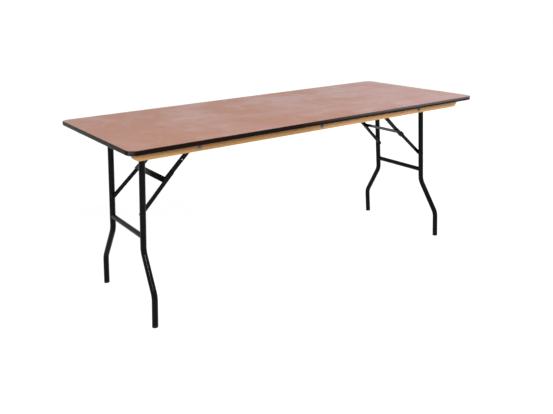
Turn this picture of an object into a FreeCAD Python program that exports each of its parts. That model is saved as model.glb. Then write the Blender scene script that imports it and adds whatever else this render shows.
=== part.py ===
import FreeCAD, Part
import math
import os
import Sketcher

# Folding banquet table: a varnished plywood top with a bullnose edge band and two timber rails, and a
# folding steel leg set at each end, held by a jointed brace on each side.
# Frame: +X along the top, +Y to the far side, +Z up, origin on the floor under the middle of the top.
# The pieces of the right-hand end (+X) are drawn in place. Those of the left-hand end are the same
# pieces turned half a turn about the vertical axis.

doc = FreeCAD.newDocument("banquet_table")

# Driving sizes, in millimetres
SIZES = {
    # the top and its edge band
    "table_length": 1829,
    "table_width": 762,
    "table_height": 762,
    "ply_thickness": 18,
    "corner_radius": 38,
    "band_wall": 4.5,
    "band_round": 4,
    "tongue_depth": 9,
    "tongue_thickness": 2,
    # the side rails
    "rail_inset": 68,
    "rail_thickness": 22,
    "rail_depth": 38,
    "rail_setback": 40,
    "rail_round": 27,
    # the bolted brackets inside the rails
    "bolt_setback": 274.5,
    "bolt_drop": 23,
    "bolt_diameter": 8,
    "bolt_head_diameter": 14,
    "bolt_head_rise": 4,
    "bolt_tail": 3,
    "washer_diameter": 18,
    "washer_thickness": 1.6,
    "nut_width": 13,
    "nut_thickness": 6,
    "bracket_length": 44,
    "bracket_flange": 32,
    "bracket_thickness": 2.5,
    # the wood screws under the top
    "screw_diameter": 4,
    "screw_cover": 6,
    "screw_head_diameter": 8,
    "screw_head_rise": 2,
    # the legs
    "pivot_setback": 140.5,
    "pivot_gap": 0.8,
    "pivot_tube_diameter": 27,
    "pivot_tail": 11,
    "leg_diameter": 25.4,
    "tube_wall": 1.5,
    "leg_inset": 218,
    "foot_splay": 102,
    "foot_outset": 55,
    "upper_bend_height": 294,
    "lower_bend_height": 132,
    "bend_radius": 70,
    "crossbar_diameter": 22.2,
    "crossbar_height": 354,
    "foot_plug_height": 9,
    "foot_spigot_length": 16,
    "foot_edge_round": 2.5,
    # the saddles that carry the pivot tube
    "saddle_clearance": 11,
    "saddle_width": 32,
    "saddle_thickness": 2,
    "saddle_ear": 22,
    # the braces
    "anchor_setback": 427,
    "brace_drop": 285,
    "brace_inset": 19.3,
    "upper_strut_width": 17.6,
    "upper_strut_depth": 8,
    "upper_strut_wall": 2,
    "lower_strut_thickness": 5,
    "lower_strut_land": 16,
    "strut_gap": 0.4,
    "stop_bar_reach": 43,
    "stop_bar_width": 25,
    "stop_bar_thickness": 4,
    "stop_bar_overhang": 1.6,
    "stop_bar_margin": 1.5,
    "stop_bar_round": 3,
    # the hinge brackets, pins and rivets
    "hinge_base_length": 68,
    "hinge_thickness": 2.5,
    "hinge_pin_diameter": 6,
    "leg_pin_diameter": 8,
    "pin_head_diameter": 12,
    "pin_head_rise": 2.5,
    "knee_rivet_diameter": 6,
    "knee_head_diameter": 11,
    "strut_rivet_reach": 140,
    "strut_rivet_diameter": 5,
    "strut_rivet_head_diameter": 8,
    "rivet_rise": 2.5,
    # fits
    "running_gap": 0.1,
    "overrun": 5,
}

# Places that follow from the driving sizes
PLACES = {
    "half_length": "sizes.table_length / 2",
    "half_width": "sizes.table_width / 2",
    "underside": "sizes.table_height - sizes.ply_thickness",
    "rail_outer": "half_width - sizes.rail_inset",
    "rail_inner": "rail_outer - sizes.rail_thickness",
    "bolt_x": "half_length - sizes.rail_setback - sizes.bolt_setback",
    "bolt_height": "underside - sizes.bolt_drop",
    "pivot_radius": "sizes.pivot_tube_diameter / 2",
    "pivot_x": "half_length - sizes.pivot_setback",
    "pivot_height": "underside - sizes.pivot_gap - pivot_radius",
    "leg_radius": "sizes.leg_diameter / 2",
    "leg_y": "half_width - sizes.leg_inset",
    "saddle_y": "leg_y + leg_radius + sizes.saddle_clearance + sizes.saddle_width / 2",
    "pivot_end": "saddle_y + sizes.saddle_width / 2 + sizes.pivot_tail",
    "foot_y": "leg_y + sizes.foot_splay",
    "lean": "atan(sizes.foot_outset / pivot_height)",
    "crossbar_x": "pivot_x + (pivot_height - sizes.crossbar_height) * tan(lean)",
    # the brace folds flat when its two struts lie along the pivot line, which gives their lengths
    "anchor_x": "half_length - sizes.anchor_setback",
    "leg_pin_x": "pivot_x + sizes.brace_drop * tan(lean)",
    "leg_pin_height": "pivot_height - sizes.brace_drop",
    "folded_pin_x": "pivot_x - sizes.brace_drop / cos(lean)",
    "strut_slope": "atan2(sizes.brace_drop; leg_pin_x - anchor_x)",
    "strut_span": "hypot(sizes.brace_drop; leg_pin_x - anchor_x)",
    "upper_reach": "(strut_span + folded_pin_x - anchor_x) / 2",
    "lower_reach": "(strut_span - folded_pin_x + anchor_x) / 2",
    "knee_x": "anchor_x + upper_reach * cos(strut_slope)",
    "knee_height": "pivot_height - upper_reach * sin(strut_slope)",
    # how far the brace's pieces lie from the middle of the table
    "leg_side": "leg_y - leg_radius",
    "web_face": "leg_side - sizes.brace_inset",
    "flange_face": "web_face - sizes.upper_strut_depth",
    "knee_face": "web_face + sizes.strut_gap",
    "bar_step": "leg_side - sizes.strut_gap - sizes.lower_strut_thickness - knee_face",
    "upper_half": "sizes.upper_strut_width / 2",
    "lower_half": "upper_half - sizes.strut_gap",
    "upper_tail": "sizes.stop_bar_reach + sizes.stop_bar_width / 2 + sizes.stop_bar_margin",
    "hinge_inner": "flange_face - sizes.strut_gap - sizes.hinge_thickness",
    "hinge_outer": "web_face + sizes.strut_gap + sizes.hinge_thickness",
    "hinge_height": "underside - sizes.hinge_thickness",
}


def fill_sheet(name, cells):
    sheet = doc.addObject("Spreadsheet::Sheet", name)
    for row, (alias, content) in enumerate(cells.items(), start=1):
        sheet.set(f"A{row}", alias)
        sheet.set(f"B{row}", content)
        sheet.setAlias(f"B{row}", alias)
    return sheet


sizes = fill_sheet("sizes", {alias: str(size) for alias, size in SIZES.items()})
doc.recompute()
places = fill_sheet("places", {alias: "=" + formula for alias, formula in PLACES.items()})
doc.recompute()

X_AXIS = FreeCAD.Vector(1, 0, 0)
Y_AXIS = FreeCAD.Vector(0, 1, 0)
Z_AXIS = FreeCAD.Vector(0, 0, 1)
HALF_TURN = FreeCAD.Placement(FreeCAD.Vector(), FreeCAD.Rotation(Z_AXIS, 180))
SIDES = ("left", "right")
ROWS = ("near", "far")


def number(formula):
    """The present value of a formula, in millimetres or degrees."""
    found = places.evalExpression(formula)
    return float(getattr(found, "Value", found))


def bind(item, **formulas):
    for name, formula in formulas.items():
        item.setExpression(name, formula)
    return item


def place(item, x="0", y="0", z="0", axis=None, angle="0"):
    """Put an object at a point, turned about an axis through that point."""
    if axis:
        item.Placement = FreeCAD.Placement(FreeCAD.Vector(), FreeCAD.Rotation(axis, 90))
        item.setExpression("Placement.Rotation.Angle", angle)
    for letter, formula in zip("xyz", (x, y, z)):
        item.setExpression("Placement.Base." + letter, formula)
    return item


def box(name, x, y, z):
    """A box between pairs of formulas, each pair the low and the high end."""
    item = doc.addObject("Part::Box", name)
    spans = {side: f"({high}) - ({low})" for side, (low, high) in
             zip(("Length", "Width", "Height"), (x, y, z))}
    bind(item, **spans)
    return place(item, x[0], y[0], z[0])


def cylinder(name, radius, length, x="0", y="0", z="0", axis=None, angle="0"):
    item = doc.addObject("Part::Cylinder", name)
    bind(item, Radius=radius, Height=length)
    return place(item, x, y, z, axis, angle)


def rod(name, radius, low, high, x, z):
    """A cylinder across the table, from one y to another."""
    return cylinder(name, radius, f"({high}) - ({low})", x, low, z, X_AXIS, "-90 deg")


def dome(name, width, rise, x="0", y="0", z="0", facing=0):
    """A domed head whose flat side is at a point. It faces up, or to +Y (1) or to -Y (-1)."""
    ball = f"(({width}) ^ 2 / 4 + ({rise}) ^ 2) / (2 * ({rise}))"
    item = doc.addObject("Part::Sphere", name)
    bind(item, Radius=ball, Angle1=f"asin(1 - ({rise}) / ({ball}))")
    sink = f"(({rise}) - ({ball}))"
    if facing:
        return place(item, x, f"{y} + {facing} * {sink}", z, X_AXIS, f"{-90 * facing} deg")
    return place(item, x, y, f"{z} + {sink}")


def fuse(name, *shapes):
    item = doc.addObject("Part::MultiFuse", name)
    item.Shapes = list(shapes)
    return item


def cut(name, base, tool):
    item = doc.addObject("Part::Cut", name)
    item.Base = base
    item.Tool = tool
    return item


def common(name, base, tool):
    item = doc.addObject("Part::Common", name)
    item.Base = base
    item.Tool = tool
    return item


def group(name, *shapes):
    item = doc.addObject("Part::Compound", name)
    item.Links = list(shapes)
    return item


def finish(item, label, side="right"):
    """Name a finished piece, and turn it to the other end if it belongs there."""
    item.Label = label
    if side == "left":
        item.Placement = HALF_TURN.multiply(item.Placement)
    finished[label] = item
    return item


finished = {}


def mirrored_span(row, near_end, far_end):
    """A span of y on one side of the middle, given by its distances from the middle."""
    if row > 0:
        return near_end, far_end
    return f"-({far_end})", f"-({near_end})"


def row_sign(side, row):
    """Where a row lies before its end is turned: -1 at the front, 1 at the back."""
    return (1 if row == "far" else -1) * (1 if side == "right" else -1)


def sketch_on(body, name, role):
    """A sketch on one of the body's own origin planes."""
    sketch = body.newObject("Sketcher::SketchObject", name)
    plane = [item for item in body.Origin.OriginFeatures if item.Role == role][0]
    sketch.AttachmentSupport = [(plane, "")]
    sketch.MapMode = "FlatFace"
    return sketch


def polygon(sketch, corners):
    """A closed outline whose corners are pairs of formulas, each held by its own dimensions."""
    spots = [FreeCAD.Vector(number(x), number(y), 0) for x, y in corners]
    count = len(spots)
    for index in range(count):
        sketch.addGeometry(Part.LineSegment(spots[index], spots[(index + 1) % count]), False)
    for index in range(count):
        sketch.addConstraint(Sketcher.Constraint("Coincident", index, 2, (index + 1) % count, 1))
    for index, corner in enumerate(corners):
        for kind, letter, formula in zip(("DistanceX", "DistanceY"), "xy", corner):
            dimension = sketch.addConstraint(Sketcher.Constraint(kind, index, 1, number(formula)))
            sketch.renameConstraint(dimension, f"corner_{letter}_{index}")
            sketch.setExpression(f"Constraints.corner_{letter}_{index}", formula)


def rectangle(sketch, x, y):
    polygon(sketch, [(x[0], y[0]), (x[1], y[0]), (x[1], y[1]), (x[0], y[1])])


def pad(body, name, sketch, length, middle=False):
    feature = body.newObject("PartDesign::Pad", name)
    feature.Profile = sketch
    feature.Midplane = middle
    feature.setExpression("Length", length)
    doc.recompute()
    return feature


def edges_where(feature, wanted):
    return [f"Edge{index}" for index, edge in enumerate(feature.Shape.Edges, start=1) if wanted(edge)]


def fillet(body, name, base, edges, radius):
    feature = body.newObject("PartDesign::Fillet", name)
    feature.Base = (base, edges)
    feature.setExpression("Radius", radius)
    doc.recompute()
    return feature


def runs_along(edge, axis):
    """Whether an edge is a straight line along an axis."""
    ends = edge.valueAt(edge.LastParameter) - edge.valueAt(edge.FirstParameter)
    return edge.Curve.TypeId == "Part::GeomLine" and ends.cross(axis).Length < ends.Length / 1000


def slab(name, length, width, radius, rim=None):
    """A flat board as thick as the top, with rounded corners and, if asked, rounded rims."""
    body = doc.addObject("PartDesign::Body", name)
    outline = sketch_on(body, name + "_outline", "XY_Plane")
    rectangle(outline, (f"-({length}) / 2", f"({length}) / 2"), (f"-({width}) / 2", f"({width}) / 2"))
    board = pad(body, name + "_board", outline, "sizes.ply_thickness")
    corners = edges_where(board, lambda edge: runs_along(edge, Z_AXIS))
    feature = fillet(body, name + "_corners", board, corners, radius)
    if rim:
        rims = edges_where(feature, lambda edge: edge.BoundBox.ZLength < edge.Length / 1000)
        feature = fillet(body, name + "_rims", feature, rims, rim)
    return place(body, z="places.underside")


def make_top(screws):
    """The plywood, and the band around it with a tongue along each straight edge."""
    inner_length = "sizes.table_length - 2 * sizes.band_wall"
    inner_width = "sizes.table_width - 2 * sizes.band_wall"
    ply = slab("ply_blank", inner_length, inner_width, "sizes.corner_radius - sizes.band_wall")
    band = slab("band_blank", "sizes.table_length", "sizes.table_width", "sizes.corner_radius",
                "sizes.band_round")
    ring = cut("band_ring", band, ply)
    middle = "(places.underside + sizes.ply_thickness / 2)"
    height = (f"{middle} - sizes.tongue_thickness / 2", f"{middle} + sizes.tongue_thickness / 2")
    along_x = ("sizes.corner_radius - places.half_length", "places.half_length - sizes.corner_radius")
    along_y = ("sizes.corner_radius - places.half_width", "places.half_width - sizes.corner_radius")
    tip = "sizes.band_wall + sizes.tongue_depth"
    root = "sizes.band_wall / 2"
    tongues = []
    for row in (-1, 1):
        across_y = mirrored_span(row, f"places.half_width - ({tip})", f"places.half_width - ({root})")
        across_x = mirrored_span(row, f"places.half_length - ({tip})", f"places.half_length - ({root})")
        tongues.append(box("long_tongue", along_x, across_y, height))
        tongues.append(box("short_tongue", across_x, along_y, height))
    finish(fuse("edge_band", ring, *tongues), "edge_band")
    finish(cut("table_top", ply, group("top_cutters", screws, *tongues)), "table_top")


def make_fastener(name, head_width, head_rise, shank, length):
    """A domed fastener that stands on z = 0, with its shank below."""
    head = dome(name + "_head", head_width, head_rise)
    body = cylinder(name + "_shank", f"({shank}) / 2", length, z=f"-({length})")
    return fuse(name, head, body)


def make_screws():
    """The wood screws of the right-hand half: they hold every bracket and saddle to the top."""
    spots = []
    for row in (-1, 1):
        sign = "" if row > 0 else "-"
        saddle_y = f"{sign}places.saddle_y"
        reach = "(places.pivot_radius + sizes.running_gap + sizes.saddle_thickness + sizes.saddle_ear / 2)"
        spots.append((f"places.pivot_x - {reach}", saddle_y, "sizes.saddle_thickness"))
        spots.append((f"places.pivot_x + {reach}", saddle_y, "sizes.saddle_thickness"))
        hinge_y = f"{sign}(places.hinge_inner + places.hinge_outer) / 2"
        reach = "(places.upper_half + sizes.hinge_base_length / 2) / 2"
        spots.append((f"places.anchor_x - {reach}", hinge_y, "sizes.hinge_thickness"))
        spots.append((f"places.anchor_x + {reach}", hinge_y, "sizes.hinge_thickness"))
        bracket_y = f"{sign}(places.rail_inner - (sizes.bracket_flange + sizes.bracket_thickness) / 2)"
        quarter = "sizes.bracket_length / 4"
        spots.append((quarter, bracket_y, "sizes.bracket_thickness"))
        spots.append((f"places.bolt_x - {quarter}", bracket_y, "sizes.bracket_thickness"))
        spots.append((f"places.bolt_x + {quarter}", bracket_y, "sizes.bracket_thickness"))
    screws = []
    for x, y, plate in spots:
        screw = make_fastener("wood_screw", "sizes.screw_head_diameter", "sizes.screw_head_rise",
                              "sizes.screw_diameter", f"sizes.ply_thickness + {plate} - sizes.screw_cover")
        screws.append(place(screw, x, y, f"places.underside - {plate}", X_AXIS, "180 deg"))
    return group("right_screws", *screws)


def make_rails():
    """The two timber rails, with the bolts, washers, nuts and angle brackets that hold them."""
    spans = {"washer": ("places.rail_outer", "places.rail_outer + sizes.washer_thickness"),
             "wood": ("places.rail_inner", "places.rail_outer"),
             "upright": ("places.rail_inner - sizes.bracket_thickness", "places.rail_inner"),
             "shelf": ("places.rail_inner - sizes.bracket_flange", "places.rail_inner")}
    nut_face = "(places.rail_inner - sizes.bracket_thickness)"
    shank = ("(sizes.washer_thickness + sizes.rail_thickness + sizes.bracket_thickness"
             " + sizes.nut_thickness + sizes.bolt_tail)")
    bolts, washers, nuts = [], [], []
    for row in (-1, 1):
        sign = "" if row > 0 else "-"
        for turn in (-1, 0, 1):
            x = f"{turn} * places.bolt_x"
            bolt = make_fastener("rail_bolt", "sizes.bolt_head_diameter", "sizes.bolt_head_rise",
                                 "sizes.bolt_diameter", shank)
            bolts.append(place(bolt, x, f"{sign}({spans['washer'][1]})", "places.bolt_height",
                               X_AXIS, f"{-90 * row} deg"))
            washer = rod("rail_washer", "sizes.washer_diameter / 2", *mirrored_span(row, *spans["washer"]),
                         x, "places.bolt_height")
            washers.append(cut("rail_washer_ring", washer, bolt))
            nut = doc.addObject("Part::Prism", "rail_nut")
            nut.Polygon = 6
            bind(nut, Circumradius="sizes.nut_width / sqrt(3)", Height="sizes.nut_thickness")
            place(nut, x, f"{sign}{nut_face}", "places.bolt_height", X_AXIS, f"{90 * row} deg")
            nuts.append(cut("rail_nut_ring", nut, bolt))
    all_bolts = finish(group("rail_bolts", *bolts), "rail_bolts")
    finish(group("rail_washers", *washers), "rail_washers")
    finish(group("rail_nuts", *nuts), "rail_nuts")

    for row, name in zip((-1, 1), ROWS):
        body = doc.addObject("PartDesign::Body", "rail_blank")
        outline = sketch_on(body, "rail_outline", "XZ_Plane")
        end = "(places.half_length - sizes.rail_setback)"
        rectangle(outline, (f"-{end}", end), ("-sizes.rail_depth", "0"))
        board = pad(body, "rail_board", outline, "sizes.rail_thickness", middle=True)
        floor = number("-sizes.rail_depth / 2")
        lower = edges_where(board, lambda edge: runs_along(edge, Y_AXIS) and edge.BoundBox.ZMax < floor)
        fillet(body, "rail_ends", board, lower, "min(sizes.rail_round; sizes.rail_depth - sizes.strut_gap)")
        sign = "" if row > 0 else "-"
        place(body, y=f"{sign}(places.rail_outer + places.rail_inner) / 2", z="places.underside")
        finish(cut("side_rail", body, all_bolts), "side_rail_" + name)
    return spans


def make_rail_brackets(spans, bolts, screws):
    """Six steel angles, each bolted to a rail and screwed up into the plywood."""
    cutters = group("bracket_cutters", bolts, screws)
    half = "sizes.bracket_length / 2"
    for row, row_name in zip((-1, 1), ROWS):
        for turn, name in zip((-1, 0, 1), ("left", "middle", "right")):
            length = (f"{turn} * places.bolt_x - {half}", f"{turn} * places.bolt_x + {half}")
            upright = box("bracket_upright", length, mirrored_span(row, *spans["upright"]),
                          ("places.underside - sizes.bracket_flange", "places.underside"))
            shelf = box("bracket_shelf", length, mirrored_span(row, *spans["shelf"]),
                        ("places.underside - sizes.bracket_thickness", "places.underside"))
            angle = fuse("bracket_angle", upright, shelf)
            finish(cut("rail_bracket", angle, cutters), f"rail_bracket_{row_name}_{name}")


def make_saddles(side, screws):
    """A pair of steel straps that carry the pivot tube under the plywood."""
    bore = "(places.pivot_radius + sizes.running_gap)"
    outer = f"({bore} + sizes.saddle_thickness)"
    ear = f"({outer} + sizes.saddle_ear)"
    for name in ROWS:
        row = row_sign(side, name)
        middle = f"{row} * places.saddle_y"
        width = (f"{middle} - sizes.saddle_width / 2", f"{middle} + sizes.saddle_width / 2")

        def block(label, reach, low, high):
            span = (f"places.pivot_x - {reach}", f"places.pivot_x + {reach}")
            return box(label, span, width, (low, high))

        strap = fuse("saddle_strap",
                     rod("saddle_round", outer, *width, "places.pivot_x", "places.pivot_height"),
                     block("saddle_walls", outer, "places.pivot_height", "places.underside"),
                     block("saddle_ears", ear, "places.underside - sizes.saddle_thickness", "places.underside"))
        hollow = fuse("saddle_hollow",
                      rod("saddle_bore", bore, *width, "places.pivot_x", "places.pivot_height"),
                      block("saddle_mouth", bore, "places.pivot_height",
                            "places.underside + sizes.overrun"))
        opened = cut("saddle_opened", strap, hollow)
        finish(cut("pivot_saddle", opened, screws), f"pivot_saddle_{side}_{name}", side)


def make_hinges(side, screws):
    """A two-eared bracket and a pin at the top of each upper strut."""
    pins = []
    for name in ROWS:
        row = row_sign(side, name)
        rim = "places.upper_half"
        tip = "sizes.strut_gap"
        inner = mirrored_span(row, "places.hinge_inner", f"places.flange_face - {tip}")
        outer = mirrored_span(row, f"places.web_face + {tip}", "places.hinge_outer")
        across = mirrored_span(row, "places.hinge_inner", "places.hinge_outer")
        anchor = ("places.anchor_x", "places.pivot_height")
        plate = box("hinge_plate",
                    ("places.anchor_x - sizes.hinge_base_length / 2",
                     "places.anchor_x + sizes.hinge_base_length / 2"),
                    across, ("places.hinge_height", "places.underside"))
        ears = []
        for span in (inner, outer):
            ears.append(box("hinge_ear", (f"places.anchor_x - {rim}", f"places.anchor_x + {rim}"), span,
                            ("places.pivot_height", "places.underside")))
            ears.append(rod("hinge_ear_end", rim, *span, *anchor))
        bracket = fuse("hinge_bracket", plate, *ears)
        shank = rod("hinge_pin_shank", "sizes.hinge_pin_diameter / 2", *across, *anchor)
        pin = fuse("hinge_pin", shank, *pin_heads("hinge_pin_head", across, anchor))
        pins.append(pin)
        drilled = cut("hinge_drilled", bracket, pin)
        finish(cut("brace_hinge", drilled, screws), f"brace_hinge_{side}_{name}", side)
    finish(group("hinge_pins", *pins), f"hinge_pins_{side}", side)


def pin_heads(name, span, centre):
    """A domed head on each end of a pin that lies across the table."""
    return [dome(name, "sizes.pin_head_diameter", "sizes.pin_head_rise", centre[0], end, centre[1], facing)
            for end, facing in zip(span, (-1, 1))]


def along_strut(item, reach, lift, y="0"):
    """Put an object on the line of the struts: so far from the hinge, so far above the line."""
    return place(item,
                 f"places.anchor_x + ({reach}) * cos(places.strut_slope) + ({lift}) * sin(places.strut_slope)",
                 y,
                 f"places.pivot_height - ({reach}) * sin(places.strut_slope) + ({lift}) * cos(places.strut_slope)",
                 Y_AXIS, "places.strut_slope")


def strut_point(reach):
    """A point on the line of the struts, as formulas for x and z."""
    return (f"places.anchor_x + ({reach}) * cos(places.strut_slope)",
            f"places.pivot_height - ({reach}) * sin(places.strut_slope)")


def make_upper_strut(side, name, knee_rivet, strut_rivet):
    """A pressed channel, its web outwards, with round ends and a tail beyond the knee."""
    row = row_sign(side, name)
    length = "(places.upper_reach + places.upper_tail)"
    half = "places.upper_half"
    low, high = mirrored_span(row, "places.flange_face", "places.web_face")

    channel = doc.addObject("Part::Box", "channel_outside")
    bind(channel, Length=f"{length} + {half}", Width="sizes.upper_strut_depth", Height="sizes.upper_strut_width")
    along_strut(channel, f"-{half}", f"-{half}", low)
    hollow = doc.addObject("Part::Box", "channel_hollow")
    bind(hollow, Length=f"{length} + {half} + 2 * sizes.overrun", Width="sizes.upper_strut_depth",
         Height="sizes.upper_strut_width - 2 * sizes.upper_strut_wall")
    inward = f"({low}) - ({row}) * sizes.upper_strut_wall"
    along_strut(hollow, f"-{half} - sizes.overrun", f"sizes.upper_strut_wall - {half}", inward)

    plank = doc.addObject("Part::Box", "channel_plank")
    bind(plank, Length=f"{length} - {half}", Width="sizes.upper_strut_depth", Height="sizes.upper_strut_width")
    along_strut(plank, "0", f"-{half}", low)
    ends = [rod("channel_end", half, low, high, *strut_point(reach)) for reach in ("0", f"{length} - {half}")]
    outline = fuse("channel_outline", plank, *ends)

    body = common("channel_rounded", cut("channel_opened", channel, hollow), outline)
    eye = rod("hinge_eye", "sizes.hinge_pin_diameter / 2 + sizes.running_gap", low, high, *strut_point("0"))
    drilled = cut("channel_drilled", body, group("channel_cutters", eye, knee_rivet, strut_rivet))
    finish(drilled, f"upper_strut_{side}_{name}", side)


def make_rivet(name, row, reach, faces, widths, shank):
    """A rivet across one strut: a dome on each face that has a width, and a shank between."""
    x, z = strut_point(reach)
    low, high = mirrored_span(row, *faces)
    heads = []
    inside, outside = widths if row > 0 else widths[::-1]
    for end, width, facing in ((low, inside, -1), (high, outside, 1)):
        if width:
            heads.append(dome(name + "_head", width, "sizes.rivet_rise", x, end, z, facing))
    return fuse(name, rod(name + "_shank", f"{shank} / 2", low, high, x, z), *heads)


def make_lower_strut(side, name, knee_rivet):
    """A flat steel bar, set outwards between its ends so that it meets the side of the leg."""
    row = row_sign(side, name)
    body = doc.addObject("PartDesign::Body", "lower_bar")
    outline = sketch_on(body, "lower_bar_outline", "XY_Plane")
    land = "sizes.lower_strut_land"
    start, end = "-places.lower_half", "places.lower_reach + places.lower_half"
    inner = [(start, "0"), (land, "0"), (f"places.lower_reach - {land}", "places.bar_step"),
             (end, "places.bar_step")]
    thick = "sizes.lower_strut_thickness"
    outer = [(x, f"{y} + {thick}") for x, y in reversed(inner)]
    corners = [(x, f"{row} * (places.knee_face + {y})") for x, y in inner + outer]
    polygon(outline, corners)
    bar = pad(body, "lower_bar_strip", outline, "2 * places.lower_half", middle=True)
    middle = number("places.lower_reach") / 2
    far = middle + number("places.lower_half") / 2
    ends = edges_where(bar, lambda edge: runs_along(edge, Y_AXIS) and abs(edge.CenterOfMass.x - middle) > far)
    fillet(body, "lower_bar_ends", bar, ends, "places.lower_half - sizes.strut_gap")
    along_strut(body, "places.upper_reach", "0")
    eye_span = mirrored_span(row, "places.knee_face + places.bar_step", "places.leg_side")
    eye = rod("leg_pin_eye", "sizes.leg_pin_diameter / 2 + sizes.running_gap", *eye_span,
              "places.leg_pin_x", "places.leg_pin_height")
    finish(cut("lower_bar_drilled", body, group("lower_bar_cutters", eye, knee_rivet)),
           f"lower_strut_{side}_{name}", side)


def make_brace(side):
    """The two jointed struts of one end, their rivets, and the stop bar across them."""
    upper_rivets, lower_rivets, strut_rivets = [], [], []
    for name in ROWS:
        row = row_sign(side, name)
        web = ("places.web_face - sizes.upper_strut_wall", "places.web_face")
        bar = ("places.knee_face", "places.knee_face + sizes.lower_strut_thickness")
        knee_inside = make_rivet("knee_rivet_inside", row, "places.upper_reach", web,
                                 ("sizes.knee_head_diameter", None), "sizes.knee_rivet_diameter")
        knee_outside = make_rivet("knee_rivet_outside", row, "places.upper_reach", bar,
                                  (None, "sizes.knee_head_diameter"), "sizes.knee_rivet_diameter")
        strut_rivet = make_rivet("strut_rivet", row, "sizes.strut_rivet_reach", web,
                                 ("sizes.strut_rivet_head_diameter", "sizes.strut_rivet_head_diameter"),
                                 "sizes.strut_rivet_diameter")
        make_upper_strut(side, name, knee_inside, strut_rivet)
        make_lower_strut(side, name, knee_outside)
        upper_rivets.append(knee_inside)
        lower_rivets.append(knee_outside)
        strut_rivets.append(strut_rivet)
    finish(group("knee_rivets_upper", *upper_rivets), f"knee_rivets_upper_{side}", side)
    finish(group("knee_rivets_lower", *lower_rivets), f"knee_rivets_lower_{side}", side)
    finish(group("strut_rivets", *strut_rivets), f"strut_rivets_{side}", side)

    body = doc.addObject("PartDesign::Body", "stop_bar_blank")
    outline = sketch_on(body, "stop_bar_outline", "XY_Plane")
    reach = "(places.knee_face + sizes.lower_strut_thickness + sizes.stop_bar_overhang)"
    half = "sizes.stop_bar_width / 2"
    rectangle(outline, (f"-{half}", half), (f"-{reach}", reach))
    strip = pad(body, "stop_bar_strip", outline, "sizes.stop_bar_thickness")
    corners = edges_where(strip, lambda edge: runs_along(edge, Z_AXIS))
    fillet(body, "stop_bar_corners", strip, corners, "sizes.stop_bar_round")
    along_strut(body, "places.upper_reach + sizes.stop_bar_reach", "places.upper_half")
    bar = group("stop_bar", body)
    finish(bar, f"stop_bar_{side}", side)


def leg_x(height):
    """How far out the leg's axis lies at a height."""
    return f"places.pivot_x + (places.pivot_height - {height}) * tan(places.lean)"


def rounded_path(points, radius):
    """A wire of straight runs joined by tangent arcs."""
    edges = []
    start = points[0]
    for before, corner, after in zip(points, points[1:], points[2:]):
        inward = (before - corner).normalize()
        onward = (after - corner).normalize()
        half_turn = (inward * -1).getAngle(onward) / 2
        setback = radius * math.tan(half_turn)
        entry = corner + inward * setback
        leave = corner + onward * setback
        bisector = (inward + onward).normalize()
        crown = corner + bisector * (radius / math.cos(half_turn) - radius)
        edges.append(Part.LineSegment(start, entry).toShape())
        edges.append(Part.Arc(entry, crown, leave).toShape())
        start = leave
    edges.append(Part.LineSegment(start, points[-1]).toShape())
    return Part.Wire(edges)


def sweep_leg(name, path, radius):
    ring = doc.addObject("Part::Circle", name + "_ring")
    ring.setExpression("Radius", radius)
    x, y, z = path.Shape.Vertexes[0].Point
    place(ring, leg_x("places.pivot_height"), str(y), "places.pivot_height", Y_AXIS, "-places.lean")
    solid = doc.addObject("Part::Sweep", name)
    solid.Sections = [ring]
    solid.Spine = (path, [f"Edge{index}" for index in range(1, len(path.Shape.Edges) + 1)])
    solid.Solid = True
    solid.Frenet = False
    return solid


def make_leg(side, name, leg_pin, pivot):
    """One bent leg tube: straight down, outwards through two gentle bends, and straight to the floor."""
    row = row_sign(side, name)
    route = [("places.pivot_height", "places.leg_y"), ("sizes.upper_bend_height", "places.leg_y"),
             ("sizes.lower_bend_height", "places.foot_y"), ("sizes.foot_plug_height", "places.foot_y")]
    points = [FreeCAD.Vector(number(leg_x(z)), row * number(y), number(z)) for z, y in route]
    path = doc.addObject("Part::Feature", "leg_path")
    path.Shape = rounded_path(points, number("sizes.bend_radius"))
    outside = sweep_leg("leg_outside", path, "places.leg_radius")
    inside = sweep_leg("leg_inside", path, "places.leg_radius - sizes.tube_wall")
    tube = cut("leg_tube", outside, group("leg_cutters", inside, pivot, leg_pin))
    finish(tube, f"leg_{side}_{name}", side)
    return outside


def make_foot(side, name):
    """A plastic plug in the end of the leg tube, cut flat where it stands."""
    row = row_sign(side, name)
    top = "sizes.foot_plug_height"
    y = f"{row} * places.foot_y"
    length = f"({top} + sizes.overrun)"
    down = f"({top} - {length} * cos(places.lean))"
    head = cylinder("foot_head", "places.leg_radius", length, leg_x(down), y, down, Y_AXIS, "-places.lean")
    spigot = cylinder("foot_spigot", "places.leg_radius - sizes.tube_wall", "sizes.foot_spigot_length",
                      leg_x(top), y, top, Y_AXIS, "-places.lean")
    reach = "sizes.leg_diameter"
    ground = box("ground", (f"places.pivot_x + sizes.foot_outset - {reach}",
                            f"places.pivot_x + sizes.foot_outset + {reach}"),
                 (f"{y} - {reach}", f"{y} + {reach}"), (f"-{length}", "0"))
    plug = cut("foot_plug_flat", fuse("foot_plug_blank", head, spigot), ground)
    doc.recompute()
    rounded = doc.addObject("Part::Fillet", "foot_plug")
    rounded.Base = plug
    floor = number("sizes.foot_edge_round / 10")
    rims = [index for index, edge in enumerate(plug.Shape.Edges, start=1) if edge.BoundBox.ZMax < floor]
    radius = number("sizes.foot_edge_round")
    rounded.Edges = [(index, radius, radius) for index in rims]
    finish(rounded, f"foot_plug_{side}_{name}", side)


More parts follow.
